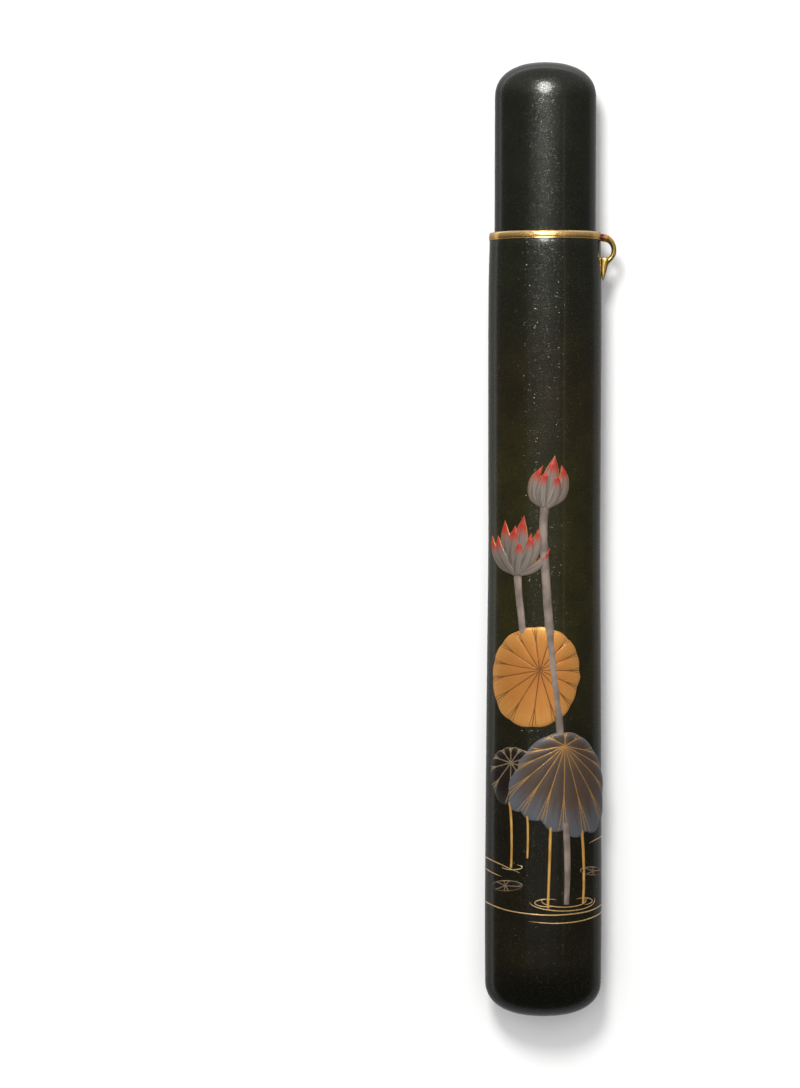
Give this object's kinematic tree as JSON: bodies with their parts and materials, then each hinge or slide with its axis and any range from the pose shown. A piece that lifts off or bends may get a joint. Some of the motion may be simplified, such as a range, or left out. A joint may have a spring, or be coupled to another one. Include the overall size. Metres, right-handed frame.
{
  "type": "pipe case",
  "caption": "Slender oval lacquer pipe case lying on its back: a domed inner tube slides into an outer case with a gold mouth rim and a cord loop.",
  "frame": {"origin": "middle of the flat strip on the back, at half the overall length, on the plane through the tubes' axis", "axes": "+Y along the case from its foot to the domed end of the inner tube, +X to the side with the cord loop, +Z out of the decorated front"},
  "size_m": [0.0287, 0.212, 0.0176],
  "materials": {
    "case_lacquer": "green-black lacquer with a fine gold speckle, satin",
    "tube_lacquer": "grey-black lacquer with a fine speckle, satin",
    "gold": "polished gold, darkened at the joints"
  },
  "bodies": {
    "root": {"case_body": "case_lacquer", "inner_tube": "tube_lacquer", "mouth_rim": "gold"}
  },
  "joints": []
}
